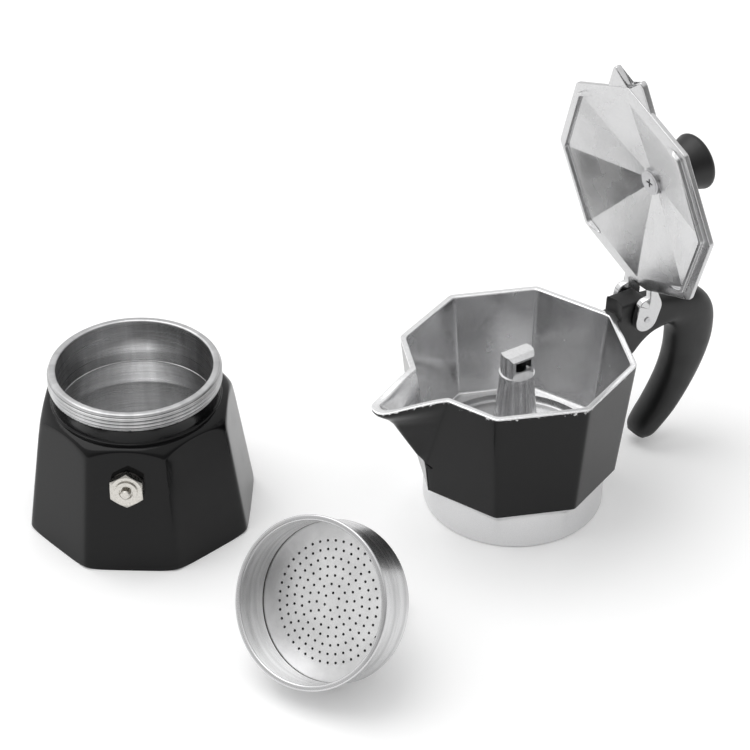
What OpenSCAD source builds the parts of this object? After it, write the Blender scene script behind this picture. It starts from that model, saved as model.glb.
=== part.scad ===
// Stove-top moka pot taken apart: boiler, tilted funnel filter, and top pot with its lid open.
// Millimetres, +Z up. The origin is on the boiler's axis at the table.

/* [Boiler] */
// Height from the table to the rim of the neck
boiler_h = 65; // [52:0.5:110]
// Axis to a corner of the eight sides at the table
boiler_base_r = 45.2; // [42:0.1:70]
// Axis to a corner just under the shoulder
boiler_shoulder_r = 38.1; // [36.5:0.1:60]
// Depth of the shoulder's corners below the rim of the neck
boiler_shoulder_drop = 18.4; // [15:0.1:30]
// Radius of the round foot that trims the corners at the table
boiler_foot_r = 44; // [42:0.1:66]
// Radius of the bore that takes the funnel
neck_bore_r = 29.3; // [24:0.1:40]
// Thickness of the neck to the crest of its thread
neck_wall = 3.4; // [2.4:0.1:6]
// Height of the threaded band
neck_thread_h = 6.7; // [4:0.1:14]
// Spacing of the thread ridges
thread_pitch = 1.5; // [1:0.1:3]
// Depth of the thread ridges
thread_depth = 0.5; // [0.2:0.05:1]
// Thickness of the boiler floor
boiler_floor = 3; // [2:0.1:6]
// Depth of the bore before it opens into the tank
neck_bore_h = 19; // [10:0.5:40]

/* [Valve] */
// Height of the valve on its side of the boiler
valve_z = 36; // [22:0.5:60]
// Hexagon across its flats
valve_hex = 12; // [9:0.1:20]
// Thickness of the hexagon
valve_hex_h = 3.4; // [2:0.1:8]
// Radius of the threaded shank in the wall
valve_shank_r = 4.6; // [3.5:0.1:8]
// Radius of the round mouth on the hexagon
valve_mouth_r = 4.2; // [3.2:0.1:7]
// Radius of the moving pin
valve_pin_r = 1.8; // [1:0.05:3]
// How far the pin stands out of the mouth
valve_pin_out = 2; // [0.5:0.1:5]

/* [Funnel] */
// Whole length from the lip to the end of the stem
funnel_len = 56.5; // [40:0.5:100]
// How far the lip reaches past the bore, to hang on the neck
funnel_lip_over = 1.5; // [1:0.1:3]
// Thickness of the lip
funnel_lip_h = 1.2; // [0.6:0.1:3]
// Depth of the basket to its perforated plate
basket_depth = 16.3; // [10:0.1:30]
// Length of the basket's wall from the lip to the edge over the cone
basket_h = 20.4; // [14:0.1:36]
// Sheet thickness of the funnel
funnel_sheet = 0.6; // [0.4:0.05:1.2]
// Radius of the stem
stem_r = 5; // [3.5:0.1:9]
// Rings of holes in the perforated plate
plate_rings = 7; // [4:1:9]
// Radius of a hole in the perforated plate
plate_hole_r = 0.5; // [0.3:0.05:0.8]

/* [Top pot] */
// Height from the table to the rim
pot_h = 66.8; // [56:0.2:120]
// Axis to a corner of the rim
pot_rim_r = 45.2; // [41:0.1:70]
// Axis to a corner at the lower edge of the eight sides
pot_low_r = 39.6; // [38.6:0.1:60]
// Height of the lower edge of the eight sides
pot_side_z = 17.3; // [15.5:0.1:30]
// Thickness of the eight sides
pot_wall = 2.3; // [1.6:0.1:4]
// Thickness of the round collar outside the neck's thread
collar_wall = 2.2; // [1.2:0.1:5]
// Height of the floor inside
pot_floor_z = 20; // [18:0.1:36]
// How far the spout reaches past the corner of the rim
spout_out = 19.6; // [12:0.2:36]
// Half the width of the spout where it leaves the rim
spout_half_w = 12.6; // [9:0.1:16]
// Radius of the rounded lip at the spout's end
spout_tip_r = 4.6; // [2.6:0.1:5]
// Height at which the spout's keel leaves the corner
spout_keel_z = 29.5; // [24:0.5:60]

/* [Column and filter] */
// Depth of the column's top below the rim
column_drop = 0.3; // [0.1:0.1:20]
// Radius of the column at the floor
column_foot_r = 10; // [8:0.1:16]
// Radius of the column under its head
column_head_r = 6.3; // [5.4:0.1:10]
// Radius of the passage up the column
column_bore_r = 3.6; // [2.5:0.1:5]
// Width of the seal ring
seal_w = 6.2; // [4:0.1:9]
// Thickness of the seal ring
seal_h = 3.2; // [2:0.1:6]

/* [Lid] */
// Overhang of the lid past the corner of the rim
lid_over = 0.4; // [0.2:0.1:3]
// Rise of the lid from its edge to the flat under the knob
lid_rise = 11.2; // [6:0.2:20]
// Thickness of the lid
lid_wall = 2.1; // [1.4:0.1:4]
// Angle the lid stands open
lid_open = 83; // [0:1:90]
// Radius of the knob at its widest
knob_r = 11.4; // [8:0.1:18]
// Height of the knob
knob_h = 20.4; // [12:0.2:32]

/* [Handle] */
// Distance of the hinge pin outside the corner of the rim
hinge_out = 9.8; // [9:0.1:16]
// Depth of the hinge pin below the rim
hinge_drop = 1.8; // [0:0.1:4]
// Radius of the hinge pin
hinge_pin_r = 1.2; // [0.8:0.05:2.5]
// Reach of the handle past the hinge pin
handle_out = 38.2; // [34:0.2:60]
// Half the width of the handle's head
handle_head_w = 5; // [4:0.1:8]
// Half the width of the grip
handle_grip_w = 7.2; // [5.5:0.1:11]
// Radius of the pin that holds the handle
handle_pin_r = 1.5; // [1:0.05:3]

/* [Clearances] */
// Funnel in the neck bore, on the radius
funnel_gap = 0.2; // [0.1:0.05:0.4]
// Neck thread in the collar thread, on the radius
thread_gap = 0.25; // [0.15:0.05:0.5]
// Lid ears on the hinge pin, on the radius
hinge_gap = 0.05; // [0.02:0.01:0.1]
// Valve pin in its guides, on the radius
valve_gap = 0.05; // [0.02:0.01:0.1]
// Parts that pass each other
side_gap = 0.3; // [0.2:0.05:0.6]

/* [Where the pieces stand] */
// Turn of the boiler's corners about its axis
boiler_turn = 20.3; // [-22:0.1:22]
// Top pot's axis to the right of the boiler's
pot_x = 143.3; // [125:0.5:220]
// Top pot's axis behind the boiler's
pot_y = 5.9; // [-60:0.5:60]
// Direction in which the handle points
pot_turn = 32.6; // [0:0.5:60]
// Middle of the funnel's lip to the right of the boiler's axis
funnel_x = 66.7; // [50:0.1:90]
// Middle of the funnel's lip in front of the boiler's axis
funnel_y = -101.2; // [-160:0.1:-80]
// Direction in which the funnel opens
funnel_turn = -126; // [-150:0.5:-90]

/* [Hidden] */
$fn = 96;
sides = 8;
corner = 180 / sides;
eps = 0.01;

// Boiler
boiler_shoulder_z = boiler_h - boiler_shoulder_drop;
neck_thread_r = neck_bore_r + neck_wall;
boiler_slope = (boiler_base_r - boiler_shoulder_r) / boiler_shoulder_z;
boiler_tilt = atan(boiler_slope * cos(corner));
neck_r = neck_thread_r - 1.1;
neck_thread_z = boiler_h - neck_thread_h;
dome_r = 8.2;
dome_x = boiler_shoulder_r - 7.6;
dome_z = boiler_shoulder_z - 3.1;
foot_h = 3.2;
tank_top_z = boiler_h - neck_bore_h;
tank_mid_z = tank_top_z - 14;
tank_low_z = 7.5;
boiler_wall = 2.4;
rim_chamfer = 0.7;
ridge_top = 0.7;
ridge_side = 0.25;

// Valve, measured outward from its side of the boiler
valve_s = (boiler_base_r - boiler_slope * valve_z) * cos(corner);
valve_seal_h = 0.6;
valve_mouth_h = 0.8;
valve_top = valve_seal_h + valve_hex_h + valve_mouth_h;
valve_inner = -5;
valve_seat = 1.1;
valve_bore_r = 2.6;
valve_collar_h = 1.5;
valve_ring_h = 0.8;
valve_ring_z = valve_top - 2;
valve_sink = 0.9;

// Funnel
funnel_lip_r = neck_bore_r + funnel_lip_over;
basket_r = neck_bore_r - funnel_gap;
basket_edge = 1;
basket_rest = basket_h - basket_edge;
funnel_tilt = atan((basket_r - stem_r) / (funnel_len - basket_rest));
funnel_z = basket_rest * sin(funnel_tilt) + basket_r * cos(funnel_tilt);
plate_h = 0.8;
plate_r = basket_r - funnel_sheet;
plate_field_r = plate_r - 6.9;
cone_h = 5;
stem_top = basket_h + cone_h;
stem_wall = 0.7;

// Top pot
collar_r = neck_thread_r + collar_wall;
spout_reach = pot_rim_r + spout_out;
hinge_s = pot_rim_r + hinge_out;
hinge_z = pot_h - hinge_drop;
handle_reach = hinge_s + handle_out;
pot_flare = (pot_rim_r - pot_low_r) / (pot_h - pot_side_z);
pot_wall_c = pot_wall / cos(corner);
under_h = 4.7;
step_h = 3.2;
step_r = pot_low_r * cos(corner) - 3.6;
thread_z = 1.2;
seal_r = neck_thread_r - thread_depth;
seal_inner_r = seal_r - seal_w;
thread_root_r = neck_thread_r + thread_gap;
thread_crest_r = thread_root_r - thread_depth;
recess_z = 9.2;
seal_z = recess_z + 0.2;
ceiling_z = seal_z + seal_h;
filter_r = seal_inner_r + 1.6;
filter_h = 0.6;
filter_z = seal_z + 1.4;
cone_low_r = seal_inner_r - 1;
cone_top_z = pot_floor_z - 2.6;
spout_top_drop = 2.3;
lug_half = 2;
lug_z = hinge_z - 22;
lug_top = hinge_z - 4;
lug_s = hinge_s - 3;

// Column
column_top_z = pot_h - column_drop;
head_h = 10;
head_z = column_top_z - head_h;
head_half = 4.2;
window_w = 7;
window_h = 4.8;
window_z = head_z + 2.8;
flutes = 10;

// Lid, measured with the lid shut
lid_r = pot_rim_r + lid_over;
lid_z = pot_h + 0.2;
lid_brim = 2;
lid_lip_r = pot_rim_r - pot_wall_c - 0.6;
lid_lip_w = 1.5;
lid_lip_h = 1.5;
lip_half = lid_lip_r - 11.1;
recess_r = lid_lip_r - lid_lip_w - 0.8;
lid_flat_r = 6.6;
lid_top_z = lid_z + lid_rise;
lid_under_z = lid_top_z - lid_wall;
ear_in = handle_head_w + side_gap;
ear_out = ear_in + 2.9;
arch_r = 12;
screw_r = 2;
screw_head_r = 3.9;
screw_head_h = 1.9;
screw_hole_r = screw_r + 0.2;
washer_r = 4.9;
washer_h = 1.1;
seat_gap = 0.04;
insert_r = 3.2;
insert_h = 9;
screw_len = 9.5;
pin_out = 0.4;

// Handle
handle_pin_s = hinge_s - 6.2;
handle_pin_z = hinge_z - 16;
slot_gap = 0.1;
head_top = hinge_z + 7.4;
head_back = hinge_s + 1.4;
head_front = hinge_s - 8.8;
grip_s = handle_reach;

// ---- places ----
module at_boiler() rotate([0, 0, boiler_turn]) children();

// +Z leaves the boiler square to the side that carries the valve
module at_valve()
    at_boiler() rotate([0, 0, -5 * corner]) translate([valve_s, 0, valve_z])
        rotate([0, 90 - boiler_tilt, 0]) children();

// Upright funnel, lip uppermost at z = 0, laid down on the basket's edge and the stem's end
module at_funnel()
    translate([funnel_x, funnel_y, funnel_z]) rotate([0, 0, funnel_turn])
        rotate([0, 90 - funnel_tilt, 0]) children();

// +X points to the handle
module at_pot() translate([pot_x, pot_y, 0]) rotate([0, 0, pot_turn]) children();

module at_lid()
    at_pot() translate([hinge_s, 0, hinge_z]) rotate([0, lid_open, 0])
        translate([-hinge_s, 0, -hinge_z]) children();

// Bar along Y, centred
module crossbar(r, half) rotate([90, 0, 0]) cylinder(h = 2 * half, r = r, center = true);

// ---- boiler ----
// Ridges of the neck thread from the bottom up
function ridges(r, z0, z1, depth) = [
    for (z = [z0 : thread_pitch : z1 - thread_pitch + eps])
        each [[r - depth, z], [r, z + ridge_side], [r, z + ridge_side + ridge_top],
              [r - depth, z + 2 * ridge_side + ridge_top]]
];

// Quarter arc points round (x, z) from angle a0 to a1
function arc(x, z, r, a0, a1, n = 8) =
    [for (i = [0 : n]) [x + r * cos(a0 + (a1 - a0) * i / n), z + r * sin(a0 + (a1 - a0) * i / n)]];

module boiler_shell() color("#17181a") at_boiler() difference() {
    union() {
        intersection() {
            cylinder(h = boiler_shoulder_z + 12, r1 = boiler_base_r,
                     r2 = boiler_base_r - boiler_slope * (boiler_shoulder_z + 12), $fn = sides);
            rotate_extrude() polygon(concat(
                [[0, 0], [boiler_foot_r, 0], [boiler_foot_r + 1.4, 0.9], [boiler_base_r + 0.3, foot_h],
                 [boiler_base_r + 0.3, boiler_shoulder_z - 12]],
                arc(dome_x, dome_z, dome_r, 22, 78),
                [[neck_r, dome_z + dome_r + 0.1], [0, dome_z + dome_r + 0.1]]));
        }
        rotate_extrude() polygon(concat(
            [[0, boiler_floor], [neck_r, boiler_floor + 30], [neck_r, neck_thread_z]],
            ridges(neck_thread_r, neck_thread_z, boiler_h - rim_chamfer, thread_depth),
            [[neck_thread_r - thread_depth, boiler_h - rim_chamfer],
             [neck_thread_r - thread_depth - rim_chamfer, boiler_h], [0, boiler_h]]));
    }
    rotate_extrude() polygon([
        [0, boiler_floor], [boiler_base_r * cos(corner) - boiler_wall - 4.4, boiler_floor],
        [boiler_base_r * cos(corner) - boiler_wall - 1.8, boiler_floor + 1.4],
        [(boiler_base_r - boiler_slope * tank_low_z) * cos(corner) - boiler_wall, tank_low_z],
        [(boiler_base_r - boiler_slope * tank_mid_z) * cos(corner) - boiler_wall - 0.3, tank_mid_z],
        [neck_bore_r, tank_top_z], [neck_bore_r, boiler_h + 1], [0, boiler_h + 1]]);
    rotate([0, 0, -5 * corner]) translate([valve_s, 0, valve_z]) rotate([0, 90 - boiler_tilt, 0])
        translate([0, 0, -12]) cylinder(h = 24, r = valve_shank_r);
}

// ---- valve ----
module valve_seal() color("#2a2624") at_valve() difference() {
    cylinder(h = valve_seal_h, r = valve_hex / 2 + 0.2);
    translate([0, 0, -1]) cylinder(h = 3, r = valve_shank_r);
}

module valve_body() color("#b9bbbd") at_valve() difference() {
    union() {
        intersection() {
            translate([0, 0, valve_seal_h])
                cylinder(h = valve_hex_h, r = valve_hex / 2 / cos(30), $fn = 6);
            translate([0, 0, valve_seal_h])
                rotate_extrude() polygon([[0, 0], [valve_hex / 2 + 0.9, 0],
                    [valve_hex / 2 + 0.9, valve_hex_h - 0.6], [valve_hex / 2 - 0.2, valve_hex_h],
                    [0, valve_hex_h]]);
        }
        translate([0, 0, valve_top - valve_mouth_h - eps])
            cylinder(h = valve_mouth_h + eps, r = valve_mouth_r);
        translate([0, 0, valve_inner]) cylinder(h = -valve_inner + valve_seal_h + eps, r = valve_shank_r);
    }
    translate([0, 0, valve_inner + valve_seat]) cylinder(h = 20, r = valve_bore_r);
    translate([0, 0, valve_inner - 1]) cylinder(h = 20, r = valve_pin_r + valve_gap);
}

module valve_ring() color("#9b9da0") at_valve() translate([0, 0, valve_ring_z]) difference() {
    cylinder(h = valve_ring_h, r = valve_bore_r);
    translate([0, 0, -1]) cylinder(h = 4, r = valve_pin_r + valve_gap);
}

module valve_pin() color("#c9cbcd") at_valve() rotate_extrude() polygon([
    [0, valve_inner - valve_sink], [valve_pin_r, valve_inner - valve_sink],
    [valve_pin_r, valve_inner + valve_seat + eps],
    [valve_bore_r - valve_gap, valve_inner + valve_seat + eps],
    [valve_bore_r - valve_gap, valve_inner + valve_seat + valve_collar_h],
    [valve_pin_r, valve_inner + valve_seat + valve_collar_h],
    [valve_pin_r, valve_top + valve_pin_out - 0.4], [valve_pin_r - 0.4, valve_top + valve_pin_out],
    [0, valve_top + valve_pin_out]]);

// ---- funnel, drawn upright under its lip ----
module funnel_basket() color("#b4b6b8") at_funnel() rotate_extrude() polygon([
    [plate_r, 0], [funnel_lip_r - 0.4, 0], [funnel_lip_r, -0.4], [funnel_lip_r, -funnel_lip_h],
    [basket_r, -funnel_lip_h], [basket_r, -basket_rest], [basket_r - basket_edge, -basket_h],
    [stem_r, -stem_top], [stem_r - funnel_sheet, -stem_top], [stem_r - funnel_sheet, 0.7 - stem_top],
    [plate_r - basket_edge, 0.7 - basket_h], [plate_r, 0.6 - basket_rest]]);

module funnel_plate() color("#c3c5c7") at_funnel() translate([0, 0, -basket_depth])
    linear_extrude(plate_h) difference() {
        circle(r = plate_r);
        for (k = [1 : plate_rings], i = [0 : 6 * k - 1])
            rotate([0, 0, 360 * i / (6 * k) + 11 * k])
                translate([plate_field_r * k / plate_rings, 0]) circle(r = plate_hole_r, $fn = 16);
    }

module funnel_stem() color("#adafb1") at_funnel() difference() {
    translate([0, 0, -funnel_len])
        cylinder(h = funnel_len - stem_top, r = stem_r);
    translate([0, 0, -funnel_len - 1]) cylinder(h = funnel_len, r = stem_r - stem_wall);
}

// ---- top pot ----
// Spout as a keel running out to a round lip; inset shrinks it for the channel
module spout_form(inset, up) hull() {
    translate([-spout_reach + spout_tip_r, 0, pot_h - spout_top_drop - 1.2 + inset])
        cylinder(h = 1.2 + up, r = spout_tip_r - inset, $fn = 32);
    translate([-spout_reach + spout_tip_r + 5, 0, pot_h - 11 + inset * 1.6]) sphere(r = 0.4, $fn = 12);
    for (side = [-1, 1])
        translate([-pot_rim_r * cos(corner) + 1.9, side * (spout_half_w - inset) - 0.05, pot_h - 0.2])
            cube([0.2, 0.1, 0.2 + up]);
    translate([-pot_low_r + 0.6 + inset * 0.4, -0.05, spout_keel_z + inset * 3.2]) cube([0.2, 0.1, 0.2]);
}

module collector_shell() color("#191a1c") at_pot() difference() {
    union() {
        translate([0, 0, pot_side_z])
            cylinder(h = pot_h - pot_side_z, r1 = pot_low_r, r2 = pot_rim_r, $fn = sides);
        translate([0, 0, pot_side_z - under_h])
            cylinder(h = under_h + eps, r1 = pot_low_r - under_h, r2 = pot_low_r, $fn = sides);
        rotate_extrude() polygon([[0, 0], [collar_r - 0.6, 0], [collar_r, 0.6],
            [collar_r, pot_side_z + 1], [0, pot_side_z + 1]]);
        spout_form(0, 0);
        // lug that carries the handle
        translate([pot_low_r, -lug_half, lug_z]) cube([lug_s - pot_low_r, 2 * lug_half, lug_top - lug_z]);
    }
    // room inside
    translate([0, 0, pot_floor_z + step_h])
        cylinder(h = pot_h - pot_floor_z - step_h + eps,
                 r1 = pot_low_r + pot_flare * (pot_floor_z + step_h - pot_side_z) - pot_wall_c,
                 r2 = pot_rim_r - pot_wall_c, $fn = sides);
    translate([0, 0, pot_floor_z]) cylinder(h = step_h + 1, r = step_r);
    spout_form(1.7, 3);
    // thread, seal recess and the cone that feeds the column
    rotate_extrude() polygon(concat(
        [[0, -1], [thread_root_r + 0.4, -1], [thread_root_r + 0.4, 0.4], [thread_root_r, thread_z]],
        [for (z = [thread_z : thread_pitch : recess_z - thread_pitch])
            each [[thread_root_r, z], [thread_root_r, z + 0.6], [thread_crest_r, z + 0.6 + ridge_side],
                  [thread_crest_r, z + thread_pitch - ridge_side]]],
        [[thread_crest_r, recess_z], [thread_crest_r, ceiling_z], [cone_low_r, ceiling_z],
         [column_bore_r, cone_top_z], [0, cone_top_z]]));
    translate([0, 0, cone_top_z - 1]) cylinder(h = pot_floor_z, r = column_bore_r);
    translate([handle_pin_s, 0, handle_pin_z]) crossbar(handle_pin_r, 20);
}

module collector_column() color("#c2c4c6") at_pot() difference() {
    union() {
        translate([0, 0, pot_floor_z])
            cylinder(h = head_z - pot_floor_z, r1 = column_foot_r, r2 = column_head_r);
        translate([0, 0, head_z - 0.4]) cylinder(h = 1.2, r = column_head_r + 0.5);
        intersection() {
            translate([0, 0, head_z]) cylinder(h = head_h, r = column_head_r);
            rotate([90, 0, 90]) translate([0, head_z, -20]) linear_extrude(40) polygon([
                [-head_half, 0], [head_half, 0], [head_half, head_h - 1.6],
                [head_half - 1.7, head_h], [1.7 - head_half, head_h], [-head_half, head_h - 1.6]]);
        }
    }
    translate([0, 0, pot_floor_z - 1]) cylinder(h = window_z + window_h - pot_floor_z, r = column_bore_r);
    translate([-window_w / 2, -20, window_z]) cube([window_w, 40, window_h]);
    for (i = [0 : flutes - 1]) rotate([0, 0, (i + 0.5) * 360 / flutes])
        translate([column_foot_r + 0.5, 0, pot_floor_z + 1])
            rotate([0, -atan((column_foot_r - column_head_r) / (head_z - pot_floor_z)), 0])
                cylinder(h = head_z - pot_floor_z - 4, r = 1);
}

module seal_ring() color("#d8d5cc") at_pot() rotate_extrude() polygon([
    [seal_inner_r, seal_z], [seal_r, seal_z], [seal_r, seal_z + seal_h], [seal_inner_r, seal_z + seal_h],
    [seal_inner_r, filter_z + filter_h], [filter_r, filter_z + filter_h], [filter_r, filter_z],
    [seal_inner_r, filter_z]]);

module filter_plate() color("#bfc1c3") at_pot() translate([0, 0, filter_z])
    linear_extrude(filter_h) difference() {
        circle(r = filter_r);
        for (k = [1 : 6], i = [0 : 6 * k - 1])
            rotate([0, 0, 360 * i / (6 * k) + 7 * k]) translate([3.6 * k, 0]) circle(r = 0.5, $fn = 16);
    }

// ---- handle ----
// Side view as [distance from the pot's axis, height], from the head round the grip
handle_side = [
    [pot_low_r, head_top - 26], [pot_low_r, hinge_z + 1], [head_front, hinge_z + 2.4],
    [head_front, head_top], [head_back, head_top], [hinge_s + 3.2, hinge_z + 5],
    [hinge_s + 12, hinge_z + 4.6], [grip_s - 17, hinge_z + 4], [grip_s - 10, hinge_z + 1.8],
    [grip_s - 4.6, hinge_z - 2.4], [grip_s - 1, hinge_z - 8.6], [grip_s, hinge_z - 16],
    [grip_s - 1.2, hinge_z - 24], [grip_s - 5, hinge_z - 33.6], [grip_s - 10.4, hinge_z - 42.6],
    [grip_s - 17, hinge_z - 51.4], [grip_s - 23.8, hinge_z - 58.4], [grip_s - 28, hinge_z - 61.6],
    [grip_s - 31, hinge_z - 62.4], [grip_s - 33.6, hinge_z - 61.2], [grip_s - 34.8, hinge_z - 57.8],
    [grip_s - 33.4, hinge_z - 53.4], [grip_s - 28, hinge_z - 47], [grip_s - 24.6, hinge_z - 40.6],
    [grip_s - 21.8, hinge_z - 33], [grip_s - 20.4, hinge_z - 25.6], [grip_s - 20.2, hinge_z - 18],
    [grip_s - 21.2, hinge_z - 12.8], [grip_s - 24, hinge_z - 10], [grip_s - 28.6, hinge_z - 9.6],
    [grip_s - 34.4, hinge_z - 12], [grip_s - 42, hinge_z - 17]];

// View from above as half widths along the handle
handle_plan = [
    [pot_low_r - 1, handle_head_w], [hinge_s + 8, handle_head_w], [hinge_s + 13, handle_head_w + 0.9],
    [hinge_s + 22, handle_grip_w - 0.4], [grip_s - 6, handle_grip_w], [grip_s + 1, handle_grip_w - 1.2]];

module handle() color("#1c1c1d") at_pot() difference() {
    intersection() {
        rotate([90, 0, 0]) translate([0, 0, -20]) linear_extrude(40) polygon(handle_side);
        linear_extrude(hinge_z + 40) polygon(concat(handle_plan,
            [for (i = [len(handle_plan) - 1 : -1 : 0]) [handle_plan[i][0], -handle_plan[i][1]]]));
    }
    translate([0, 0, pot_side_z])
        cylinder(h = pot_h - pot_side_z + 20, r1 = pot_low_r,
                 r2 = pot_rim_r + pot_flare * 20, $fn = sides);
    translate([pot_low_r, -lug_half - slot_gap, lug_z - slot_gap])
        cube([lug_s - pot_low_r + slot_gap, 2 * (lug_half + slot_gap), lug_top - lug_z + 2 * slot_gap]);
    translate([handle_pin_s, 0, handle_pin_z]) crossbar(handle_pin_r, 20);
    translate([hinge_s, 0, hinge_z]) crossbar(hinge_pin_r, 20);
}

module handle_pin() color("#b0b2b4") at_pot() translate([handle_pin_s, 0, handle_pin_z])
    crossbar(handle_pin_r, handle_head_w);

module hinge_pin() color("#c4c6c8") at_pot() translate([hinge_s, 0, hinge_z])
    crossbar(hinge_pin_r, ear_out + pin_out);

// ---- lid, drawn shut ----
module ear(side) translate([0, side * (ear_in + ear_out) / 2, 0]) hull() {
    translate([hinge_s, 0, hinge_z]) crossbar(5.2, (ear_out - ear_in) / 2, $fn = 32);
    translate([hinge_s - 4.4, 0, hinge_z + 1.8]) crossbar(5.6, (ear_out - ear_in) / 2, $fn = 32);
    translate([hinge_s - 14, 0, lid_z + 1.6]) crossbar(1.4, (ear_out - ear_in) / 2, $fn = 32);
}

module lid_shell() color("#bcbec0") at_lid() difference() {
    union() {
        translate([0, 0, lid_z]) cylinder(h = lid_brim, r = lid_r, $fn = sides);
        translate([0, 0, lid_z + lid_brim - eps])
            cylinder(h = lid_rise - lid_brim, r1 = lid_r - 1, r2 = lid_flat_r, $fn = sides);
        // lip that keeps the lid central in the rim
        intersection() {
            translate([0, 0, lid_z - lid_lip_h])
                cylinder(h = lid_lip_h + eps, r = lid_lip_r, $fn = sides);
            translate([-lip_half, -lid_r, 0]) cube([2 * lip_half, 2 * lid_r, lid_z]);
        }
        // two points over the spout
        translate([-lid_r, 0, lid_z + 0.4]) linear_extrude(2.6) polygon([
            [7.6, 13.6], [-4.4, 8.4], [-5.4, 7.2], [-4.8, 6.2], [0, 0],
            [-4.8, -6.2], [-5.4, -7.2], [-4.4, -8.4], [7.6, -13.6]]);
        ear(1);
        ear(-1);
    }
    // hollow under the lid
    translate([0, 0, lid_z])
        cylinder(h = lid_rise - lid_wall, r1 = recess_r, r2 = lid_flat_r - 1.2, $fn = sides);
    translate([0, 0, lid_z - lid_lip_h - 1])
        cylinder(h = lid_lip_h + 1 + eps, r = lid_lip_r - lid_lip_w, $fn = sides);
    // room for the head of the handle
    translate([hinge_s, 0, hinge_z]) crossbar(arch_r, ear_in);
    translate([hinge_s - 1, -ear_in, hinge_z - 20]) cube([40, 2 * ear_in, 60]);
    translate([hinge_s, 0, hinge_z]) crossbar(hinge_pin_r + hinge_gap, 20);
    translate([0, 0, lid_top_z - lid_rise]) cylinder(h = lid_rise + 2, r = screw_hole_r);
    // the ears pass outside the rim
    difference() {
        translate([0, 0, pot_side_z])
            cylinder(h = lid_z - pot_side_z, r1 = pot_low_r + side_gap,
                     r2 = pot_rim_r + side_gap, $fn = sides);
        translate([-2 * lid_r, -lid_r, 0]) cube([2 * lid_r + lid_lip_r * cos(corner), 2 * lid_r, lid_z]);
    }
}

module lid_knob() color("#1a1a1b") at_lid() translate([0, 0, lid_top_z]) difference() {
    rotate_extrude() polygon(concat(
        [[0, 0], [5.6, 0], [6, knob_h * 0.18], [7.6, knob_h * 0.44], [knob_r - 0.8, knob_h * 0.8]],
        arc(knob_r - 1.6, knob_h - 2.2, 1.6, 0, 80, 5), [[0, knob_h]]));
    translate([0, 0, -1]) cylinder(h = insert_h + 1, r = insert_r);
}

module knob_insert() color("#a98b4a") at_lid() translate([0, 0, lid_top_z]) difference() {
    cylinder(h = insert_h, r = insert_r);
    translate([0, 0, -1]) cylinder(h = insert_h, r = screw_r);
}

module knob_washer() color("#b6b8ba") at_lid() translate([0, 0, lid_under_z - washer_h]) difference() {
    cylinder(h = washer_h, r = washer_r);
    translate([0, 0, -eps])
        cylinder(h = screw_head_h, r1 = screw_head_r + seat_gap, r2 = screw_head_r + seat_gap - screw_head_h);
}

module knob_screw() color("#d0d2d4") at_lid() translate([0, 0, lid_under_z - washer_h - 0.1]) difference() {
    union() {
        cylinder(h = 0.1, r = screw_head_r);
        translate([0, 0, 0.1]) cylinder(h = washer_h, r1 = screw_head_r, r2 = screw_head_r - washer_h);
        cylinder(h = washer_h + 0.1 + lid_wall + screw_len - 4, r = screw_r);
    }
    for (a = [0, 90]) rotate([0, 0, a]) translate([-1.8, -0.4, -1]) cube([3.6, 0.8, 2]);
}

boiler_shell();
valve_seal();
valve_body();
valve_ring();
valve_pin();
funnel_basket();
funnel_plate();
funnel_stem();
collector_shell();
collector_column();
seal_ring();
filter_plate();
handle();
handle_pin();
hinge_pin();
lid_shell();
lid_knob();
knob_insert();
knob_washer();
knob_screw();
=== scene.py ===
import math
import bpy
import numpy as np
from mathutils import Matrix, Vector


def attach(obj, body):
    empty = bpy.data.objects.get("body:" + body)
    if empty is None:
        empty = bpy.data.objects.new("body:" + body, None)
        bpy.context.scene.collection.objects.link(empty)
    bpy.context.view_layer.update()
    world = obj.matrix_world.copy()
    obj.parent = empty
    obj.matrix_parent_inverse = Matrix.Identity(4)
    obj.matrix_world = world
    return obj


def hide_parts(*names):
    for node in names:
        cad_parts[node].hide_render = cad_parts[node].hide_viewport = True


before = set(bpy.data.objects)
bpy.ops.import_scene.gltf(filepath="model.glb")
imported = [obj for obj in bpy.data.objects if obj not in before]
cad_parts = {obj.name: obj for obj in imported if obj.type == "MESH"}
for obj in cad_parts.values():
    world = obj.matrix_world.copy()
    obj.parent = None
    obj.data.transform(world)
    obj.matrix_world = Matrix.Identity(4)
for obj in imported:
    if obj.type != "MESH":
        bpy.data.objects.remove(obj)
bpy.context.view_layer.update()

mm = 0.001
halfCorner = math.radians(22.5)      # half of one of the eight sides

# where the loose pieces stand, in millimetres and degrees
layout = {
    "boilerTurn": 20.3,
    "potAt": (143.3, 5.9), "potTurn": 32.6,
    "funnelAt": (66.7, -101.2), "funnelTurn": -126.0, "funnelHeight": 34.971, "funnelTilt": 33.008,
    "hingeAt": (55.0, 65.0), "lidOpen": 83.0,
}


def turnAbout(axis, degrees):
    return Matrix.Rotation(math.radians(degrees), 4, axis)


# one matrix per group of pieces: its own upright frame in millimetres to the row's frame
boilerPlace = turnAbout("Z", layout["boilerTurn"])
potPlace = Matrix.Translation((*layout["potAt"], 0)) @ turnAbout("Z", layout["potTurn"])
hingeShift = Matrix.Translation((layout["hingeAt"][0], 0, layout["hingeAt"][1]))
lidPlace = potPlace @ hingeShift @ turnAbout("Y", layout["lidOpen"]) @ hingeShift.inverted()
funnelTurned = turnAbout("Z", layout["funnelTurn"]) @ turnAbout("Y", 90 - layout["funnelTilt"])
funnelPlace = Matrix.Translation((*layout["funnelAt"], layout["funnelHeight"])) @ funnelTurned

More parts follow.
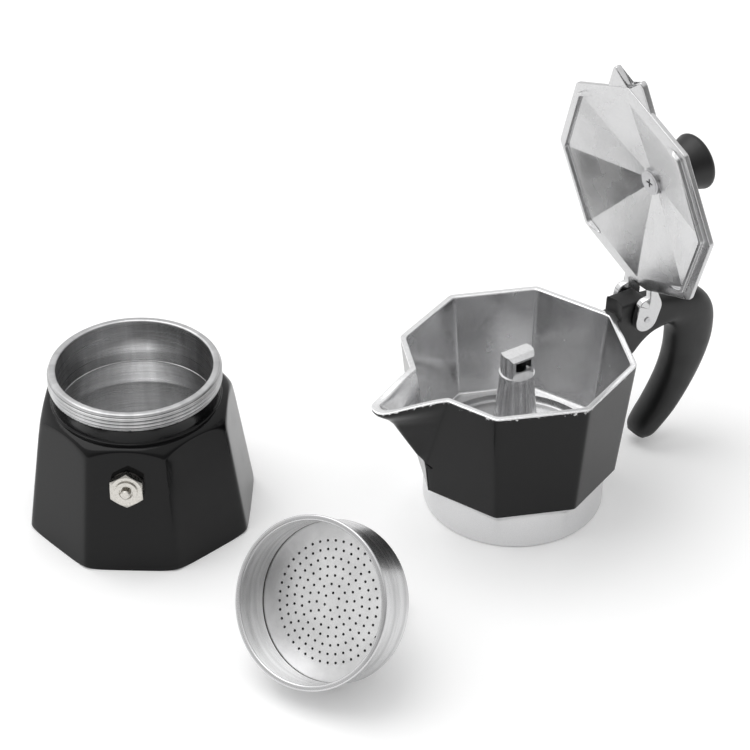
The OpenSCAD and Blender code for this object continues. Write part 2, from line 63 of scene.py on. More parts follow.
studio = {
    "lens": 120.17, "cameraAt": (89.85, -763.7, 603.5), "tilt": 54.56, "roll": -0.19,
    "floorColour": (0.95, 0.95, 0.95, 1), "floorHalf": 3.0,
    "lampAt": (-0.35, 0.15, 1.2), "lampAim": (0.08, 0.0, 0.0), "lampSize": (1.3, 1.1), "lampPower": 7.2,
    "skyTop": 0.95, "skyBack": 0.8, "skyFront": 0.32, "skyRight": 0.8, "skyLeft": 1.6, "floorGlow": 0.1,
}


def makeCamera():
    cam = bpy.data.objects.new("camera", bpy.data.cameras.new("camera"))
    bpy.context.collection.objects.link(cam)
    turn = turnAbout("X", studio["tilt"]) @ turnAbout("Z", studio["roll"])
    cam.matrix_world = Matrix.Translation(Vector(studio["cameraAt"]) * mm) @ turn
    cam.data.lens = studio["lens"]
    cam.data.sensor_width = 36
    cam.data.clip_start, cam.data.clip_end = 0.05, 20
    bpy.context.scene.camera = cam


def makeAreaLight(name, at, aim, size, power):
    lamp = bpy.data.lights.new(name, "AREA")
    lamp.shape, lamp.size, lamp.size_y = "RECTANGLE", size[0], size[1]
    lamp.energy = power
    ob = bpy.data.objects.new(name, lamp)
    bpy.context.collection.objects.link(ob)
    ob.location = at
    ob.rotation_euler = (Vector(aim) - Vector(at)).to_track_quat("-Z", "Y").to_euler()


def addNode(tree, kind, settings=None, **inputs):
    # an input named i0, i1 ... is a socket's place in the list, any other is its name
    node = tree.nodes.new("ShaderNode" + kind)
    for key, value in (settings or {}).items():
        setattr(node, key, value)
    for key, value in inputs.items():
        byPlace = key[0] == "i" and key[1:].isdigit()
        socket = node.inputs[int(key[1:]) if byPlace else key.replace("_", " ")]
        if isinstance(value, bpy.types.NodeSocket):
            tree.links.new(value, socket)
        else:
            socket.default_value = value
    return node


def maths(tree, operation, a, b=0.0, clamp=False):
    node = addNode(tree, "Math", {"operation": operation, "use_clamp": clamp}, i0=a, i1=b)
    return node.outputs[0]


def remap(tree, value, fromLow, fromHigh, toLow=0.0, toHigh=1.0):
    node = addNode(tree, "MapRange", {"interpolation_type": "SMOOTHSTEP"}, Value=value, From_Min=fromLow,
                   From_Max=fromHigh, To_Min=toLow, To_Max=toHigh)
    return node.outputs[0]


def ownPoint(tree, place):
    # object coordinates taken back into a group's own frame, in millimetres
    back = (Matrix.Scale(mm, 4) @ place).inverted()
    spot, spin, size = back.decompose()
    coords = addNode(tree, "TexCoord").outputs["Object"]
    node = addNode(tree, "Mapping", {"vector_type": "POINT"}, Vector=coords, Location=tuple(spot),
                   Rotation=tuple(spin.to_euler()), Scale=tuple(size))
    return node.outputs[0]


def ringPoint(tree, point, alongRadius, alongHeight, around=0.0):
    # a point whose noise shows as turning marks: radius, height and a little of the way round
    parts = addNode(tree, "SeparateXYZ", Vector=point)
    x, y, z = parts.outputs
    squares = maths(tree, "ADD", maths(tree, "MULTIPLY", x, x), maths(tree, "MULTIPLY", y, y))
    radius = maths(tree, "SQRT", squares)
    angle = maths(tree, "MULTIPLY", maths(tree, "COSINE", maths(tree, "ARCTAN2", y, x)), around)
    return addNode(tree, "CombineXYZ", X=maths(tree, "MULTIPLY", radius, alongRadius),
                   Y=maths(tree, "MULTIPLY", z, alongHeight), Z=angle).outputs[0]


def noise(tree, point, scale, detail=3.0, rough=0.55):
    return addNode(tree, "TexNoise", Vector=point, Scale=scale, Detail=detail, Roughness=rough).outputs["Fac"]


def bump(tree, height, distance, strength=1.0, normal=None):
    node = addNode(tree, "Bump", Height=height, Distance=distance, Strength=strength)
    if normal is not None:
        tree.links.new(normal, node.inputs["Normal"])
    return node.outputs[0]


def blendColour(tree, factor, a, b):
    node = addNode(tree, "Mix", {"data_type": "RGBA"}, i0=factor, i6=a, i7=b)
    return node.outputs[2]


def addSurface(tree, colour, roughness, metallic, normal=None, **fixed):
    node = addNode(tree, "BsdfPrincipled", Base_Color=colour, Roughness=roughness, Metallic=metallic, **fixed)
    if normal is not None:
        tree.links.new(normal, node.inputs["Normal"])
    return node.outputs[0]


paintLook = {
    "colour": (0.0045, 0.0045, 0.0048, 1), "dust": (0.02, 0.02, 0.021, 1),
    "roughness": 0.1, "patchiness": 0.08, "ior": 1.31,
}
metalLook = {
    "bright": (0.76, 0.76, 0.765, 1), "dull": (0.5, 0.5, 0.505, 1), "brightest": 0.95,
    # threadShade: dark colour for painted shade in the roots of the boiler's thread
    "threadShade": (0.1, 0.1, 0.1, 1), "plateBright": (0.92, 0.92, 0.92, 1), "plateDull": (0.82, 0.82, 0.82, 1),
}


def tonedMetal(tone):
    # the bright and the dull tone of the metal, both times one number
    most = metalLook["brightest"]
    return [tuple(min(most, c * tone) for c in metalLook[key][:3]) + (1,) for key in ("bright", "dull")]


def paintSurface(tree, point):
    # fine orange peel, faint dust that dulls it in patches
    peel = bump(tree, noise(tree, point, 0.55, 2.0), 0.00004, 0.5)
    patch = remap(tree, noise(tree, point, 0.09, 4.0, 0.6), 0.35, 0.75)
    speck = remap(tree, noise(tree, point, 1.9, 2.0), 0.68, 0.8)
    colour = blendColour(tree, maths(tree, "MULTIPLY", speck, 0.5), paintLook["colour"], paintLook["dust"])
    dulled = maths(tree, "MULTIPLY", patch, paintLook["patchiness"])
    rough = maths(tree, "ADD", dulled, paintLook["roughness"])
    return addSurface(tree, colour, rough, 0.0, peel, IOR=paintLook["ior"])


def castSurface(tree, point, low=0.16, high=0.34, grain=0.000004, ripple=0.0002, tone=1.0):
    # polished casting: broad ripples, cloudy gloss and fine grain
    broad = bump(tree, noise(tree, point, 0.06, 1.5), ripple, 0.5)
    fine = bump(tree, noise(tree, point, 1.7, 3.0, 0.6), grain, 1.0, broad)
    rough = remap(tree, noise(tree, point, 0.07, 3.0, 0.5), 0.3, 0.7, low, high)
    mottle = remap(tree, noise(tree, point, 1.1, 4.0, 0.6), 0.4, 0.75, 0.0, 0.3)
    return addSurface(tree, blendColour(tree, mottle, *tonedMetal(tone)), rough, 1.0, fine)


def threadRoots(tree, point):
    # one where the helix of the neck is deepest: 1 - |sin(pi (height / pitch - turn))|, only on the band; it
    # masks the painted shade in the thread's roots
    x, y, z = addNode(tree, "SeparateXYZ", Vector=point).outputs
    turn = maths(tree, "DIVIDE", maths(tree, "ARCTAN2", y, x), 2 * math.pi)
    above = maths(tree, "SUBTRACT", z, boilerForm["threadLow"])
    climb = maths(tree, "DIVIDE", above, boilerForm["threadPitch"])
    wave = maths(tree, "SINE", maths(tree, "MULTIPLY", maths(tree, "SUBTRACT", climb, turn), math.pi))
    root = maths(tree, "SUBTRACT", 1.0, maths(tree, "ABSOLUTE", wave))
    high = boilerForm["threadHigh"]
    return maths(tree, "MULTIPLY", remap(tree, root, 0.45, 1.0), remap(tree, z, high + 0.3, high - 0.2))


def turnedSurface(tree, point, low=0.24, high=0.36, depth=0.000008, pitch=2.6, dark=None, tone=1.0):
    # lathe marks run round the axis; the gloss changes from mark to mark, and the colour carries painted
    # reflection streaks from side to side, mixed with a broad random tone
    marks = noise(tree, ringPoint(tree, point, pitch, pitch, 0.6), 1.0, 5.0, 0.7)
    wide = noise(tree, ringPoint(tree, point, 0.35, 0.35, 0.4), 1.0, 3.0)
    rough = remap(tree, marks, 0.3, 0.7, low, high)
    # painted reflection: light and dark upright bands in the colour, set by the angle round the axis and
    # hardly by height
    x, y, z = addNode(tree, "SeparateXYZ", Vector=point).outputs
    way = addNode(tree, "CombineXYZ", X=maths(tree, "ARCTAN2", y, maths(tree, "ABSOLUTE", x)),
                  Y=maths(tree, "MULTIPLY", z, 0.004)).outputs[0]
    paintedStreaksAndTone = maths(tree, "ADD", remap(tree, noise(tree, way, 3.4, 4.0, 0.6), 0.35, 0.65, 0.0, 0.75),
                  remap(tree, wide, 0.35, 0.7, 0.0, 0.25))
    colour = blendColour(tree, paintedStreaksAndTone, *tonedMetal(tone))
    # painted shade: the colour darkens towards threadShade where dark is one, in the thread's roots
    if dark is not None:
        colour = blendColour(tree, dark, colour, metalLook["threadShade"])
    return addSurface(tree, colour, rough, 1.0, bump(tree, marks, depth, 0.8))


def satinSurface(tree, point):
    # blasted or vibratory finish: fine even grain
    grain = noise(tree, point, 3.2, 4.0, 0.7)
    cloud = remap(tree, noise(tree, point, 0.08, 4.0), 0.3, 0.7, 0.30, 0.42)
    colour = blendColour(tree, remap(tree, grain, 0.3, 0.8, 0.0, 0.35), *tonedMetal(1.0))
    return addSurface(tree, colour, cloud, 1.0, bump(tree, grain, 0.00002, 0.5))


def brushedSurface(tree, point):
    # fine lines round the basket and broad bands of stretched metal
    fine = noise(tree, ringPoint(tree, point, 5.0, 5.0, 1.2), 1.0, 6.0, 0.75)
    band = noise(tree, ringPoint(tree, point, 0.25, 0.3, 0.9), 1.0, 3.0)
    rough = remap(tree, fine, 0.3, 0.7, 0.24, 0.34)
    colour = blendColour(tree, remap(tree, band, 0.35, 0.7, 0.3, 1.0), *tonedMetal(1.0))
    return addSurface(tree, colour, rough, 1.0, bump(tree, fine, 0.000008, 0.8))


def scratchedSurface(tree, point):
    # sheet with short straight scratches in two directions
    long = addNode(tree, "Mapping", Vector=point, Rotation=(0, 0, 0.7), Scale=(0.12, 3.5, 1)).outputs[0]
    cross = addNode(tree, "Mapping", Vector=point, Rotation=(0, 0, -0.5), Scale=(3.1, 0.15, 1)).outputs[0]
    lines = maths(tree, "MAXIMUM", noise(tree, long, 1.0, 4.0, 0.7), noise(tree, cross, 1.0, 4.0, 0.7))
    rough = remap(tree, lines, 0.45, 0.75, 0.42, 0.3)
    cloud = remap(tree, noise(tree, point, 0.12, 4.0), 0.35, 0.7)
    colour = blendColour(tree, cloud, metalLook["plateBright"], metalLook["plateDull"])
    return addSurface(tree, colour, rough, 1.0, bump(tree, lines, 0.00002, 0.7))


def smallMetalSurface(tree, point, colour, rough):
    # plated or turned small parts with handling marks
    marks = noise(tree, point, 1.6, 5.0, 0.7)
    dull = tuple(0.7 * c for c in colour[:3]) + (1,)
    handled = blendColour(tree, remap(tree, marks, 0.45, 0.75, 0.0, 0.8), colour, dull)
    gloss = remap(tree, marks, 0.3, 0.75, rough, rough + 0.14)
    return addSurface(tree, handled, gloss, 1.0, bump(tree, marks, 0.00002, 0.5))


def mouldedSurface(tree, point, colour, rough, grain):
    # moulded surface: fine grain and faint wear in the gloss
    fine = noise(tree, point, grain, 4.0, 0.65)
    worn = remap(tree, noise(tree, point, 0.12, 4.0), 0.35, 0.7, 0.0, 0.1)
    paler = tuple(min(1.0, 1.7 * c) for c in colour[:3]) + (1,)
    speckled = blendColour(tree, remap(tree, fine, 0.5, 0.8, 0.0, 0.6), colour, paler)
    return addSurface(tree, speckled, maths(tree, "ADD", worn, rough), 0.0, bump(tree, fine, 0.00003, 0.5))


def boilerOutsideSurface(tree, point):
    # paint up to a ragged edge under the thread, bare turned metal above it
    height = addNode(tree, "SeparateXYZ", Vector=point).outputs[2]
    ragged = maths(tree, "MULTIPLY", maths(tree, "SUBTRACT", noise(tree, point, 1.3, 4.0, 0.7), 0.5), 1.7)
    edge = boilerForm["paintEdge"]
    bare = remap(tree, maths(tree, "ADD", height, ragged), edge, edge + 0.15)
    # the bare neck gets painted shade in the roots of its thread
    neck = turnedSurface(tree, point, 0.3, 0.42, 0.00002, dark=threadRoots(tree, point), tone=0.8)
    return addNode(tree, "MixShader", i0=bare, i1=paintSurface(tree, point), i2=neck).outputs[0]


def potOutsideSurface(tree, point):
    # paint that stops short of the rim, with worn chips along it
    below = addNode(tree, "Attribute", {"attribute_name": "belowRim"}).outputs["Fac"]
    worn = remap(tree, noise(tree, point, 0.55, 5.0, 0.75), 0.52, 0.75)
    chip = maths(tree, "MULTIPLY", worn, potForm["chipDepth"])
    line = maths(tree, "ADD", potForm["bareRim"], chip)
    paint = remap(tree, maths(tree, "SUBTRACT", below, line), -0.06, 0.06)
    rim = castSurface(tree, point, 0.2, 0.3)
    return addNode(tree, "MixShader", i0=paint, i1=rim, i2=paintSurface(tree, point)).outputs[0]


def makeMaterials():
    made = {}

    def finish(name, place, surface, *values, **named):
        mat = bpy.data.materials.new(name)
        mat.use_nodes = True
        tree = mat.node_tree
        tree.nodes.clear()
        out = tree.nodes.new("ShaderNodeOutputMaterial")
        tree.links.new(surface(tree, ownPoint(tree, place), *values, **named), out.inputs[0])
        made[name] = mat

    finish("boilerInside", boilerPlace, turnedSurface)
    finish("boilerOutside", boilerPlace, boilerOutsideSurface)
    finish("potOutside", potPlace, potOutsideSurface)
    finish("plainPaint", potPlace, paintSurface)
    # brighter copy of the cast metal, tone 1.15: painted light on the pot's inside, its rim and the column
    finish("potInside", potPlace, castSurface, 0.14, 0.28, tone=1.15)
    # darker copy of the cast metal, tone 0.6: painted shade on the pot's ledge and floor
    finish("potFloor", potPlace, castSurface, 0.24, 0.4, tone=0.6)
    finish("collarSatin", potPlace, satinSurface)
    finish("lidMetal", lidPlace, castSurface, 0.2, 0.3, grain=0.00002, ripple=0.00006, tone=0.8)
    finish("sheet", funnelPlace, brushedSurface)
    finish("plate", funnelPlace, scratchedSurface)
    finish("nickel", potPlace, smallMetalSurface, (0.62, 0.60, 0.56, 1), 0.2)
    finish("brass", potPlace, smallMetalSurface, (0.66, 0.47, 0.2, 1), 0.28)
    finish("steel", potPlace, smallMetalSurface, (0.55, 0.55, 0.56, 1), 0.3)
    finish("bakelite", potPlace, mouldedSurface, (0.0035, 0.0035, 0.0037, 1), 0.38, 0.5)
    # dark moulded look: painted shade for the groove round the plate and the enclosed inside of the funnel
    finish("funnelShade", funnelPlace, mouldedSurface, (0.02, 0.017, 0.015, 1), 0.55, 0.7)
    finish("rubber", potPlace, mouldedSurface, (0.6, 0.57, 0.5, 1), 0.6, 0.9)
    finish("fibre", boilerPlace, mouldedSurface, (0.03, 0.026, 0.024, 1), 0.7, 2.2)
    return made


def roundedPath(points, steps=5, closed=False):
    # each corner (x, y, setback) becomes a parabola: (1-u)^2 before + 2u(1-u) corner + u^2 after
    pts = np.array([p[:2] for p in points], float)
    back = np.array([p[2] if len(p) > 2 else 0.0 for p in points])
    before, after = np.roll(pts, 1, 0) - pts, np.roll(pts, -1, 0) - pts
    lengthBefore = np.linalg.norm(before, axis=1) + 1e-9
    lengthAfter = np.linalg.norm(after, axis=1) + 1e-9
    if not closed:
        back[0] = back[-1] = 0
    reach = np.minimum(back, 0.499 * np.minimum(lengthBefore, lengthAfter))
    start = pts + before / lengthBefore[:, None] * reach[:, None]
    end = pts + after / lengthAfter[:, None] * reach[:, None]
    u = np.linspace(0, 1, steps)[None, :, None]
    curve = (1 - u) ** 2 * start[:, None] + 2 * u * (1 - u) * pts[:, None] + u ** 2 * end[:, None]
    keep = np.repeat(reach[:, None] > 1e-6, steps, 1)
    keep[:, 0] = True
    return curve[keep]


def softMin(a, b, sharp):
    low = np.minimum(a, b)
    return low * ((low / a) ** sharp + (low / b) ** sharp) ** (-1 / sharp)


def softMax(a, b, sharp):
    high = np.maximum(a, b)
    return high * ((a / high) ** sharp + (b / high) ** sharp) ** (1 / sharp)


def sideRadius(angles, flat, sharp=90.0):
    # eight flat sides at distance flat: radius = flat / (sum of cos(angle - side)^n)^(1/n)
    sides = halfCorner + np.arange(8) * 2 * halfCorner
    facing = np.clip(np.cos(angles[..., None] - sides), 0, 1)
    return flat / (facing ** sharp).sum(-1) ** (1 / sharp)


cornerOffsets = [0, .2, .45, .75, 1.1, 1.6, 2.3, 3.4, 5.2, 7.6, 10.2, 12.8, 15.4, 18, 20.3, 22.5]


def columnAngles():
    # columns crowd towards the eight corners, so the flats stay flat and the edges round
    off = np.radians(np.array(cornerOffsets))
    angles = np.concatenate([k * 2 * halfCorner + side * off for k in range(8) for side in (-1, 1)])
    return np.unique(np.round(np.mod(angles, 2 * np.pi), 6))


def gridMesh(name, x, y, z, place, body, rowMaterial, materials, loop=False, belowRim=None):
    # rows by columns of points, columns closed round; the rows close in a loop or end in a fan at each pole
    rows, cols = x.shape
    flatPoints = np.stack([x.ravel(), y.ravel(), z.ravel()], 1)
    rowMaterial = np.zeros(rows, int) + rowMaterial
    index = np.arange(rows * cols).reshape(rows, cols)
    below = index if loop else index[:-1]
    above = np.roll(index, -1, 0) if loop else index[1:]
    quads = np.stack([below, np.roll(below, -1, 1), np.roll(above, -1, 1), above], -1).reshape(-1, 4)
    faces, faceMaterial = quads.tolist(), np.repeat(rowMaterial[:len(below)], cols).tolist()
    poles = [] if loop else [(np.roll(index[0], -1), index[0]), (index[-1], np.roll(index[-1], -1))]
    for ring, after in poles:
        flatPoints = np.vstack([flatPoints, flatPoints[ring].mean(0)])
        faces += np.stack([ring, after, np.full(cols, len(flatPoints) - 1)], 1).tolist()
        faceMaterial += [int(rowMaterial[ring[0] // cols])] * cols
    matrix = np.array(Matrix.Scale(mm, 4) @ place)
    world = flatPoints @ matrix[:3, :3].T + matrix[:3, 3]
    mesh = bpy.data.meshes.new(name)
    mesh.from_pydata(world.tolist(), [], faces)
    mesh.polygons.foreach_set("material_index", faceMaterial)
    mesh.polygons.foreach_set("use_smooth", np.ones(len(faces), bool))
    if belowRim is not None:
        values = np.zeros(len(flatPoints), np.float32)
        values[:rows * cols] = belowRim.ravel()
        mesh.attributes.new("belowRim", "FLOAT", "POINT").data.foreach_set("value", values)
    for mat in materials:
        mesh.materials.append(mat)
    mesh.validate()
    ob = bpy.data.objects.new(name, mesh)
    bpy.context.collection.objects.link(ob)
    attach(ob, body)
    return ob


boilerForm = {
    "height": 65.0, "baseRadius": 45.2, "shoulderRadius": 38.1, "shoulderHeight": 46.6,
    "domeRadius": 8.2, "domeAt": (30.5, 43.5), "neckRadius": 31.6, "paintEdge": 58.0,
    "threadRadius": 32.7, "threadDepth": 0.55, "threadPitch": 1.5, "threadLow": 58.3, "threadHigh": 64.2,
    "boreRadius": 29.3, "floor": 3.0, "sharp": 90.0,
}


def makeBoiler(looks):
    # radius = soft minimum of the eight sides and the turned outline; the helix is cut into the neck
    f = boilerForm
    angles = columnAngles()
    cosHalf = math.cos(halfCorner)
    slope = (f["baseRadius"] - f["shoulderRadius"]) / f["shoulderHeight"]
    foot = roundedPath([(0.5, 0), (30, 0), (42, 0), (44.1, 0.1, 0.6), (45.4, 1.0, 0.6),
                        (45.6, 4, 1), (45.6, 30), (45.6, 42)], 7)
    turn = np.radians(np.linspace(10, 80, 22))
    dome = np.array(f["domeAt"]) + f["domeRadius"] * np.stack([np.cos(turn), np.sin(turn)], 1)
    neckR, bore, rim, floor = f["neckRadius"], f["boreRadius"], f["height"], f["floor"]
    neck = roundedPath([(neckR + 0.8, 51.55), (neckR, 51.9, 0.7), (neckR, 57.2), (neckR + 0.3, 57.9, 0.3),
                        (neckR + 0.65, 58.1, 0.2)], 6)
    bandZ = np.arange(f["threadLow"], f["threadHigh"], 0.11)
    band = np.stack([np.full(len(bandZ), f["threadRadius"]), bandZ], 1)
    top = roundedPath([(32.3, rim - 0.7), (31.7, rim - 0.05, 0.4), (bore + 0.6, rim, 0.3),
                       (bore + 0.05, rim - 0.4, 0.4), (bore, rim - 2)], 6)
    # bore, groove at its foot, cone, step, tank
    inside = roundedPath([(bore, rim - 3), (bore, 46.9), (bore + 0.45, 46.7, 0.1), (bore + 0.45, 46.4, 0.1),
                          (bore + 0.1, 46.1, 0.2), (29.9, 45.4, 0.3), (34.2, 32.8, 0.4), (34.9, 32.5, 0.2),
                          (35.0, 31.6, 0.6), (38.1, 8.5, 3), (37.6, 5.2, 2.5), (34.8, floor + 0.1, 2.5),
                          (28, floor), (14, floor), (0.5, floor)], 7)
    outer = np.vstack([foot, dome, neck, band, top])
    envelope = np.vstack([outer, inside])
    radius, height = envelope[:, :1], envelope[:, 1:]
    flat = (f["baseRadius"] - slope * height) * cosHalf
    row = np.arange(len(envelope))
    eightSided = softMin(radius, sideRadius(angles[None, :], flat), f["sharp"])
    r = np.where(row[:, None] < len(outer), eightSided, radius)
    # thread: a rounded ridge once per pitch, climbing with the angle, faded in and out
    phase = (height - f["threadLow"]) / f["threadPitch"] - angles[None, :] / (2 * np.pi)
    ridge = np.clip(1.6 * np.abs(np.sin(np.pi * phase)) - 0.15, 0, 1)
    inBand = (row >= len(foot) + len(dome) + len(neck)) & (row < len(outer) - len(top))
    fade = np.clip((height - f["threadLow"]) / 0.7, 0, 1) * np.clip((f["threadHigh"] - height) / 0.8, 0, 1)
    cut = f["threadDepth"] * (1 - ridge * fade)
    r = np.where(inBand[:, None], f["threadRadius"] - cut, r)
    insideRows = row >= len(outer) - 4
    z = np.broadcast_to(height, r.shape)
    ob = gridMesh("boilerBody", r * np.cos(angles), r * np.sin(angles), z, boilerPlace, "boiler",
                  insideRows.astype(int), [looks["boilerOutside"], looks["boilerInside"]])
    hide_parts("boiler_shell")
    print("boiler made", len(ob.data.polygons))


potForm = {
    "height": 66.8, "rimRadius": 45.2, "lowRadius": 39.6, "sideLow": 17.3, "wall": 2.3, "collarRadius": 34.9,
    "floor": 20.0, "ledge": 23.2, "ledgeRadius": 33.0, "cornerSharp": 110.0,
    "spoutLow": 29.5, "spoutHalfWidth": 12.6, "spoutDrop": 2.4,
    "bareRim": 0.45, "chipDepth": 2.2,
    "lugLow": 43.1, "lugHigh": 60.9, "lugReach": 51.9, "lugHalf": 1.9,
    # keel of the spout from its foot to its lip: height, reach from the axis, radius of the keel
    "keel": [(29.5, 41.0, 0.5), (32.0, 41.7, 0.5), (36.5, 45.0, 0.8), (47.0, 51.0, 1.2), (55.0, 55.5, 2.0),
             (58.5, 58.6, 3.0), (61.0, 61.9, 4.0), (62.8, 64.0, 4.6), (66.8, 64.7, 4.8)],
    "shareEdge": 0.6,      # degrees either side of the keel that the columns of the spout start from
}


def spoutWedge(z, inset):
    # a wedge of two walls, each a line s cos(lean) + t sin(lean) = offset from its join with the sides to a
    # round keel that it touches
    f = potForm
    keel = np.array(f["keel"])
    rise = np.clip((z - f["spoutLow"]) / (f["height"] - f["spoutLow"]), 0.002, 1)
    flare = (f["rimRadius"] - f["lowRadius"]) / (f["height"] - f["sideLow"])
    corner = f["lowRadius"] + flare * (z - f["sideLow"])
    half = f["spoutHalfWidth"] * rise
    join = corner - half * math.tan(halfCorner)
    reach = np.maximum(np.interp(z, keel[:, 0], keel[:, 1]), corner + 0.02)
    tip = np.minimum(np.interp(z, keel[:, 0], keel[:, 2]), 0.4 * half + 0.05)
    centre = reach - tip
    span = np.maximum(np.hypot(join - centre, half), tip * 1.05)
    lean = np.clip(np.arctan2(half, join - centre) - np.arccos(tip / span), halfCorner + 0.02, 1.42)
    offset = join * np.cos(lean) + half * np.sin(lean)
    centre = (offset - tip) / np.cos(lean)
    steep = np.interp(z, [45, 56, 62, 66], [0.15, 0.4, 0.9, 0.1])
    centre = centre - inset * steep
    tip = np.maximum(tip - inset, 0.3)
    offset = centre * np.cos(lean) + tip
    flat = corner * math.cos(halfCorner) - inset
    joinAngle = np.arctan2(offset * math.cos(halfCorner) - flat * np.cos(lean),
                           np.maximum(flat * np.sin(lean) - offset * math.sin(halfCorner), 1e-6))
    return lean, offset, centre, tip, flat, joinAngle


def potWall(share, z, inset):
    # columns inside the join spread over the spout, the rest over the sides;
    # radius = soft maximum of the wedge and the flat sides
    lean, offset, centre, tip, flat, joinAngle = spoutWedge(z, inset)
    edge = potForm["shareEdge"]
    join = np.maximum(np.degrees(joinAngle), edge)
    away = np.abs(share - 180)
    near = np.where(away < edge, away / edge * join, join + (away - edge) / (22.5 - edge) * (22.5 - join))
    away = np.where(away < 22.5, near, away)
    angles = np.radians(180 + np.sign(share - 180) * away)
    side = sideRadius(angles, flat, potForm["cornerSharp"])
    away = np.radians(away)
    line = offset / np.maximum(np.cos(away - lean), 0.05)
    touch = np.arctan2(tip * np.sin(lean), centre + tip * np.cos(lean))
    keel = centre * np.cos(away) + np.sqrt(np.maximum(tip ** 2 - (centre * np.sin(away)) ** 2, 0))
    wedge = np.where(away < touch, keel, line)
    wedge = np.where(away < np.radians(22.5), np.clip(wedge, 1.0, 80.0), 1.0)
    return angles, softMax(side, wedge, 160.0)


def makePot(looks):
    # bands of rows from the collar over the sides and the rim down to the pot's floor; potWall has the spout
    f = potForm
    cosHalf = math.cos(halfCorner)
    edge = f["shareEdge"]
    spoutShares = edge * np.array([0, .03, .06, .09, .12, .15, .18, .21, .25, .3, .37, .46, .56, .66, .76,
                                   .85, .92, .96, .985, 1])
    share = np.degrees(columnAngles())
    share = share[np.abs(share - 180) > 0.9 * edge]
    share = np.concatenate([share, 180 + spoutShares, 180 - spoutShares])
    share = np.unique(np.round(share, 5))[None, :]
    plain = np.radians(share)
    # the rim dips towards the spout's lip
    topReach = potWall(share, np.full_like(share, f["height"]), 0.0)[1]
    dip = np.clip((topReach - 43.5) / 21, 0, 1) * (np.abs(share - 180) < 22.5)
    rim = f["height"] - f["spoutDrop"] * dip ** 2 * (3 - 2 * dip)
    parts = []

    def addTurned(points, look):
        r = np.repeat(points[:, :1], share.shape[1], 1)
        parts.append((np.repeat(plain, len(points), 0), r, np.repeat(points[:, 1:], share.shape[1], 1), look))

    def addWall(z, inset, look):
        angles, r = potWall(np.repeat(share, len(z), 0), z, inset)
        parts.append((angles, r, z, look))

    # underside and inside of the collar, its foot and its outer face
    addTurned(roundedPath([(0.5, 17.4), (3.6, 17.4), (25, 12.6, 0.5), (32.45, 12.6, 0.3), (32.45, 9.2, 0.2),
                           (32.95, 8.8, 0.2), (32.95, 1.2, 0.2), (33.35, 0.5, 0.2), (33.4, 0, 0.1),
                           (34.2, 0, 0.3), (f["collarRadius"], 0.7, 0.4), (f["collarRadius"], 12.4)], 5), 0)
    # slope from the round collar out to the eight sides
    lift = np.linspace(0, 1, 7)[:, None]
    slopeZ = 12.6 + lift * (f["sideLow"] - 0.3 - 12.6) + 0 * plain
    flat = (f["collarRadius"] + lift * (f["lowRadius"] - 0.3 - f["collarRadius"])) * cosHalf
    slopeSides = sideRadius(plain, flat, f["cornerSharp"])
    slopeR = softMax(np.full_like(slopeZ, f["collarRadius"]), slopeSides, 120.0)
    parts.append((np.repeat(plain, 7, 0), slopeR, slopeZ, 0))
    # outer sides from the lower edge to just under the rim, with rows kept level
    up = np.concatenate([[0.0, 0.008], np.linspace(0.03, 0.985, 40), [0.994]])[:, None]
    addWall(f["sideLow"] + up * (rim - 0.35 - f["sideLow"]), 0.0, 1)
    # rounded rim from outside to inside: inset and depth under the top
    for inset, depth in [(0.0, 0.3), (0.06, 0.16), (0.2, 0.05), (0.45, 0.0), (1.1, 0.0), (1.75, 0.0),
                         (2.05, 0.06), (2.22, 0.2), (f["wall"], 0.4)]:
        addWall(rim - depth, inset, 2)
    down = np.concatenate([[0.008, 0.02], np.linspace(0.05, 0.96, 30), [0.985, 1.0]])[:, None]
    addWall(rim - 0.4 - down * (rim - 0.4 - f["ledge"] - 0.9), f["wall"], 2)
    low = np.full_like(share, f["ledge"] + 0.9)
    lowR = potWall(share, low, f["wall"])[1]
    for inward, drop in [(0.3, 0.35), (0.75, 0.7), (1.4, 0.9)]:
        parts.append((plain, np.maximum(lowR - inward, f["ledgeRadius"] + 0.35), low - drop, 3))
    addTurned(roundedPath([(f["ledgeRadius"] + 0.3, f["ledge"]), (f["ledgeRadius"], f["ledge"] - 0.15, 0.2),
                           (f["ledgeRadius"], f["floor"] + 0.9), (f["ledgeRadius"] - 0.7, f["floor"], 0.8),
                           (22, f["floor"]), (11, f["floor"]), (0.5, f["floor"])], 5), 3)
    angles, r, z = (np.vstack([part[k] for part in parts]) for k in range(3))
    rowMaterial = np.concatenate([np.full(len(part[1]), part[3]) for part in parts])
    ob = gridMesh("potBody", r * np.cos(angles), r * np.sin(angles), z, potPlace, "top_pot", rowMaterial,
                  [looks["collarSatin"], looks["potOutside"], looks["potInside"], looks["potFloor"]],
                  belowRim=rim - z)
    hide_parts("collector_shell")
    # lug under the handle's head, cut in the upright plane through the handle
    lug = [(40.5, f["lugLow"], 0.6), (f["lugReach"], f["lugLow"], 1.2), (f["lugReach"], f["lugHigh"], 1.2),
           (43.5, f["lugHigh"], 0.6)]
    platePiece("handleLug", roundedPath(lug, 6, closed=True), -f["lugHalf"], f["lugHalf"], 0.3,
               potPlace @ turnAbout("X", 90), "top_pot", looks["plainPaint"])
    print("top pot made", len(ob.data.polygons))


roundColumns = 144


def turnedPiece(name, profile, place, body, looks, nodes, rowMaterial=0, loop=False):
    # a profile of radius and height turned about the upright axis
    angles = np.linspace(0, 2 * np.pi, roundColumns, endpoint=False)[None, :]
    r, z = profile[:, :1], profile[:, 1:] + 0 * angles
    ob = gridMesh(name, r * np.cos(angles), r * np.sin(angles), z, place, body, rowMaterial, looks, loop=loop)
    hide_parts(*nodes)
    return ob


